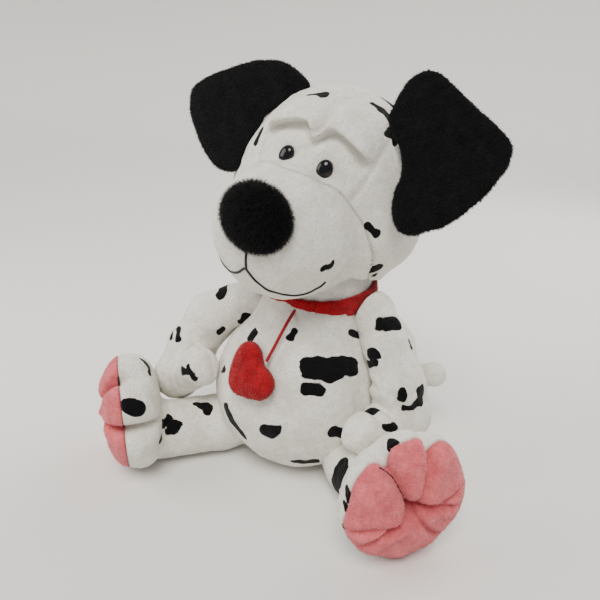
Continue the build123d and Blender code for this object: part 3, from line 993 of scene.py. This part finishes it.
ARMS = {
    "left": [((46, 13, 112), 14), ((62, 3, 97), 16), ((74, -8, 74), 16.5), ((79, -7, 54), 17),
             ((62, -39, 53), 11)],
    "right": [((-37, 5, 111), 14), ((-70, -4, 93), 17.5), ((-84, -15, 68), 17), ((-89, -27, 50), 16.5),
              ((-60, -38, 70), 12)],
}
SHOULDER_BEND = 9           # how far each way of the shoulder the reach given to bend() runs
COLLAR_CLEAR = 42.5         # arms stay this far from the neck's middle


def to_leg(p, name):
    """From the part's frame to a leg's own."""
    origin, turned = leg_frame(name)
    return (p - origin) @ turned


def arm_shape(name):
    """An arm that is pressed flat where it lies against the belly and the thigh."""
    balls = ARMS[name]
    side = 1 if name == "left" else -1
    shoulder = np.array(balls[0][0])
    root = shoulder - (26 * side, -6, 6)
    elbow, wrist = np.array(balls[3][0]), np.array(balls[4][0])
    forward = unit(wrist - elbow)
    inner = 0.5 * (elbow + wrist) + (0, 0, 11)
    leg = leg_shape(name)

    def shape(p):
        field = chain(p, [(tuple(root), 10), *balls], 5)
        tip = wrist + 3 * forward - (0, 0, 3)
        field = join(field, tube(p, wrist + (0, 0, 2), balls[4][1], tip, balls[4][1] - 1), 4)
        wrist_pinch = bell((p - wrist) @ forward + 9, 2.4)
        field = field + 1.3 * wrist_pinch * bell(np.linalg.norm(p - wrist, axis=1), 22)
        thumb = (p - wrist) @ unit(np.cross(forward, (0, 0, 1))) + 0.25 * ((p - wrist) @ forward)
        field = field + 1.4 * bell(thumb, 1.8) * step((p - wrist) @ forward, 3, 9)
        near = bell(np.linalg.norm(p - inner, axis=1), 17)
        folds = 1.3 * near * np.sin((p - inner) @ unit(forward - (0, 0, 0.4)) / 1.3)
        bend = bell(np.linalg.norm(p - np.array(balls[2][0]) - (-9 * side, -9, 0), axis=1), 12)
        folds = folds + 1.3 * bend * np.sin((p - elbow) @ unit((0.2, 0.3, 1)) / 1.8)
        field = field + folds + 0.6 * waves(p, 24, 61) + 0.15 * waves(p, 7, 62)
        free = step(np.linalg.norm(p - shoulder, axis=1), 17, 27)
        field = trim(field, 0.5 - body_shape(p) - 60 * (1 - free), 2)
        field = trim(field, 0.6 - leg(to_leg(p, name)), 1.5)
        return trim(field, COLLAR_CLEAR - np.linalg.norm(p - NECK, axis=1), 2)

    return shape


def make_arm(name):
    shape = arm_shape(name)
    places = np.array([place for place, _ in ARMS[name]])
    low, high = places.min(0) - 30, places.max(0) + 24
    if name == "left":
        low[0] = 12
    else:
        high[0] = -4
    points, faces = mesh_field(shape, low, high, 1.5)
    body = f"arm_{name}"
    arm = add_piece(f"{body}_plush", points, faces, "white_plush", 0.0,
                    spot_field(points, SPOTS[body]),
                    replaced=(f"{body}_cover", f"{body}_stuffing"))
    reach = SHOULDER_BEND * unit(places[1] - places[0])
    bend(arm, body, joint_place(f"{body}_lift"), -reach, reach)


TAIL = [((4, 58.5, 26), 8.5), ((32, 72.5, 27), 9), ((60, 66, 38), 8.5), ((82, 55, 51), 9)]


def make_tail():
    root = (2, 44, 26)

    def shape(p):
        return chain(p, [(root, 8.5), *TAIL], 5) + 0.35 * waves(p, 18, 71)

    points, faces = mesh_field(shape, (-12, 30, 8), (100, 88, 68), 1.4)
    tail = add_piece("tail_plush", points, faces, "white_plush", 0.0,
                     spot_field(points, SPOTS["tail"]), replaced=("tail_cover", "tail_stuffing"))
    bend(tail, "tail", joint_place("tail_wag"), (0, -8, 0), (4, 8, 0))


# ---- Legs ----
LEG_SPLAY = 48.6
FOOT_REACH, FOOT_R = 59.5, 40.6
FOOT_DEPTH = 18.5
FULLNESS = 2.5                      # 2 rounds the pillow like a ball, more squares it
TOE_THREAD_R = 0.55
LEG_SEEDS = {"left": 81, "right": 91}
HIP_BEND = 12               # how far each way of the hip the reach given to bend() runs
PINCH = np.array([-3.0, 0.5])       # across and up from the middle of the sole
# Angles are in degrees from straight up on the sole.  A gap has an angle and how far it runs, a crease
# those and a depth.  A tuck is a crease that goes on round the rim to the ankle.
FEET = {
    "left": {"sole_start": 4.0, "gaps": ((-25, 41), (21, 41)), "tucks": (),
             "creases": ((-108, 40, 3.6), (-126, 38, 7.0), (80, 40, 4.6), (98, 38, 5.4),
                         (138, 38, 5.0), (165, 30, 2.0))},
    "right": {"sole_start": 7.5, "gaps": ((25, 41), (-21, 41)), "tucks": ((80, 7.5),),
              "creases": ((80, 44, 7.0), (110, 38, 3.2), (-84, 40, 5.0), (-104, 38, 4.5),
                          (-140, 36, 4.0))},
}


def leg_frame(name):
    """Where a leg's own frame stands: X outwards along the leg, from under the hip."""
    hip = joint_place(f"leg_{name}_swing")
    heading = LEG_SPLAY - 90 if name == "left" else -90 - LEG_SPLAY
    return np.array([hip[0], hip[1], 0.0]), turn_matrix(z=heading)


def ray_on_sole(flat, angle):
    """How far out from the pinch along a direction on the sole, and how far beside it."""
    way = np.array([math.sin(math.radians(angle)), math.cos(math.radians(angle))])
    return (flat - PINCH) @ way, (flat - PINCH) @ np.array([way[1], -way[0]])


def foot_shape(p, foot):
    """The foot in the leg's frame: a round pillow on edge, pinched in the middle of its sole."""
    q = p - (FOOT_REACH, 0, FOOT_R)
    flat = q[:, 1:]
    reach = np.linalg.norm(flat, axis=1) + 1e-9
    angle = np.degrees(np.arctan2(flat[:, 0], flat[:, 1]))
    rim = np.full(len(p), FOOT_R - 0.6)
    for gap, _ in foot["gaps"]:
        rim -= 5.5 * bell(angle - gap, 7.5) * step(q[:, 0], -16, -2)
    for tuck, depth in foot["tucks"]:
        rim -= depth * bell(angle - tuck, 9)
    rim -= 1.5 * bell(np.abs(angle) - 75, 16)
    deep = FOOT_DEPTH + 2.5 * step(q[:, 0], 0, 6)
    g = ((reach / rim) ** FULLNESS + (np.abs(q[:, 0]) / deep) ** FULLNESS) ** (1 / FULLNESS)
    distance = np.linalg.norm(q, axis=1)
    field = distance * (1 - 1 / np.maximum(g, 0.05))
    out = np.linalg.norm(flat - PINCH, axis=1)
    front = step(q[:, 0], -3, 7)
    field = field + 12.5 * front * bell(out, 7.0)
    for gap, far in foot["gaps"]:
        run, aside = ray_on_sole(flat, gap)
        ends = step(run, -2, 5) * step(far + 4 - run, 0, 8)
        field = field + 7.5 * front * bell(aside, 1.9 + 0.02 * out) * ends
        field = field - 1.6 * front * bell(np.abs(aside) - 8, 4.5) * step(run, 6, 14)
    for lean, far, depth in foot["creases"]:
        run, aside = ray_on_sole(flat, lean)
        bend = 2.2 * np.sin(run / 11 + lean)
        line = step(run, 1, 7) * step(far - run, 0, 15)
        field = field + front * line * (depth * bell(aside - bend, 2.1)
                                        - 0.25 * depth * bell(np.abs(aside - bend) - 5, 3.0))
    for tuck, depth in foot["tucks"]:
        run, aside = ray_on_sole(flat, tuck)
        field = field + depth * bell(aside, 2.2) * step(run, 12, 26) * step(-q[:, 0], 22, 2)
    return field


def leg_shape(name):
    """A whole leg in its own frame."""
    hip_z = joint_place(f"leg_{name}_swing")[2]
    seed = LEG_SEEDS[name]
    parts = FEET[name]

    def shape(p):
        shin = chain(p, [((-16, 0, hip_z), 18.5), ((0, 0, hip_z), 20), ((44, 0, 21.5), 21)], 4)
        foot = foot_shape(p, parts)
        field = join(shin, foot, 5)
        field = field + 0.45 * waves(p, 24, seed) + 0.15 * waves(p, 7, seed + 1)
        return trim(field, SEAT_HEIGHT - p[:, 2], 4)

    return shape


def sole_share(p, foot):
    """Positive on the sole's side of its seam."""
    return p[:, 0] - FOOT_REACH - foot["sole_start"]


def make_leg(name):
    origin, turned = leg_frame(name)
    whole = leg_shape(name)
    foot = FEET[name]
    body = f"leg_{name}"

    def cover(p):
        return trim(whole(p), sole_share(p, foot), SEWN_EDGE)

    def sole(p):
        return trim(whole(p), -sole_share(p, foot), SEWN_EDGE)

    low, high = np.array([-40, -46, -3]), np.array([FOOT_REACH + 26, 46, 86])
    points, faces = mesh_field(cover, low, high, 1.5)
    world = origin + points @ turned.T
    # Painted shade along the seam where the cover meets the sole.
    painted_shade = 0.5 * bell(sole_share(points, foot), 1.0)
    leg = add_piece(f"{body}_plush", world, faces, "white_plush", painted_shade,
                    spot_field(world, SPOTS[body]),
                    replaced=(f"{body}_cover", f"{body}_stuffing"))
    reach = HIP_BEND * (turned @ np.array([1.0, 0, 0]))
    bend(leg, body, joint_place(f"{body}_swing"), -reach, reach)
    low = np.array([FOOT_REACH - 6, -46, -3])
    points, faces = mesh_field(sole, low, high, 1.2)
    world = origin + points @ turned.T
    q = points - (FOOT_REACH, 0, FOOT_R)
    # Painted shade along the sole's seam and in the hollow where its middle is pinched in.
    hollow = bell(np.linalg.norm(q[:, 1:] - PINCH, axis=1), 6)
    painted_shade = np.clip(0.5 * bell(sole_share(points, foot), 1.0) + 0.5 * hollow, 0, 1)
    add_piece(f"{body}_sole_plush", world, faces, "pink_plush", painted_shade, body=body,
              replaced=[f"{body}_sole"])
    pile(f"{body}_sole_pile", world, faces, "pink_plush", body, per_mm2=1.6, length=1.3,
         width=0.34, comb=(0, 0, -0.4), seed=LEG_SEEDS[name] + 2,
         keep=lambda c: 1.0 * (sole_share(to_leg(c, name), foot) > 0.8))
    make_toe_thread(name, whole, origin, turned)


def make_toe_thread(name, field, origin, turned):
    """Dark thread drawn tight in the first gap between the toes."""
    gap = math.radians(FEET[name]["gaps"][0][0])
    ticks = np.linspace(9, 37, 22)
    flat = PINCH + ticks[:, None] * np.array([math.sin(gap), math.cos(gap)])
    line = np.stack([np.full(len(ticks), FOOT_REACH + 9.0), flat[:, 0], FOOT_R + flat[:, 1]], 1)
    line = settle(field, line, rounds=8, most=2.0)
    thread = f"leg_{name}_toe_thread"
    curve, _ = round_curve(thread, "POLY", origin + line @ turned.T, TOE_THREAD_R)
    link(thread, curve, "black_thread", f"leg_{name}", [f"{thread}s"])


# ---- Heart ----
HEART_AT = np.array([-11.0, -52.0, 84.5])
HEART_NORMAL = unit((-0.19, -0.80, 0.57))
HEART_TURN_DEG = -46
HEART_SIDE = [(5, 12.6), (10.5, 13.8), (16.5, 12.2), (20.6, 7.2), (20.8, 0.8), (17, -5.5), (11, -11.8),
              (5, -16.4)]


def heart_axes():
    """The heart's own across, up and outward directions."""
    across = np.array([1, -0.15, 0.11])
    across = unit(across - HEART_NORMAL * (across @ HEART_NORMAL))
    up = np.cross(HEART_NORMAL, across)
    turned = math.radians(HEART_TURN_DEG)
    return np.stack([math.cos(turned) * across + math.sin(turned) * up,
                     math.cos(turned) * up - math.sin(turned) * across, HEART_NORMAL], 1)


def make_heart():
    """A puffed heart with a shallow notch, sewn round its edge."""
    axes = heart_axes()
    mirrored = [(-x, y) for x, y in HEART_SIDE[::-1]]
    ring = round_outline([(0, 11.8), *HEART_SIDE, (0, -17.6), *mirrored], 4)

    def heart(q):
        edge = outline_distance(q[:, :2], ring) + 0.9
        thick = 0.9 + 6.0 * np.clip(1 - (1 - np.clip(-edge / 13, 0, 1)) ** 2, 0, 1) ** 0.55
        outer = np.maximum(edge, 0)
        seam = 0.6 * bell(q[:, 2], 0.8) * step(-edge, 3, 0)
        return np.sqrt(outer ** 2 + q[:, 2] ** 2) - thick + seam + 0.25 * waves(q, 9, 101)

    flat, faces = mesh_field(heart, (-27, -23, -10), (27, 19, 10), 0.9)
    points = HEART_AT + flat @ axes.T
    edge = outline_distance(flat[:, :2], ring)
    # Painted shade along the heart's sewn edge.
    plush = add_piece("heart_plush", points, faces, "red_plush",
                      0.7 * bell(edge, 1.2) * bell(flat[:, 2], 1.2), body="heart",
                      replaced=("heart_front", "heart_back", "heart_stuffing"))
    strands = pile("heart_pile", points, faces, "red_plush", "heart", per_mm2=4.0, length=1.3,
                   width=0.28, comb=(0, 0, -0.5), seed=102)
    return [plush, strands]


# ---- What is inside ----
def make_inside():
    """The neck's ball of filling, and materials for the pieces that the covers hide."""
    def filling(p):
        return ball(p, NECK, (21.5, 21.5, 21.5)) + 0.8 * waves(p, 14, 111)

    points, faces = mesh_field(filling, NECK - 26, NECK + 26, 1.8)
    add_piece("neck_filling", points, faces, "fibre_fill", body="neck", replaced=["neck_stuffing"])
    shown = {"neck_gathering_thread": "white_thread", "eye_washer_left": "washer_plastic",
             "eye_washer_right": "washer_plastic"}
    for node, slot in shown.items():
        mesh = frame["nodes"][node].data
        mesh.materials.clear()
        mesh.materials.append(MATERIALS[slot])


make_studio()
make_head()
make_mouth()
make_nose()
make_eye(1, "left")
make_eye(-1, "right")
for side in ("left", "right"):
    make_ear(side)
make_body()
make_collar()
for side in ("left", "right"):
    make_arm(side)
    make_leg(side)
make_tail()
heart_pieces = make_heart()
make_inside()
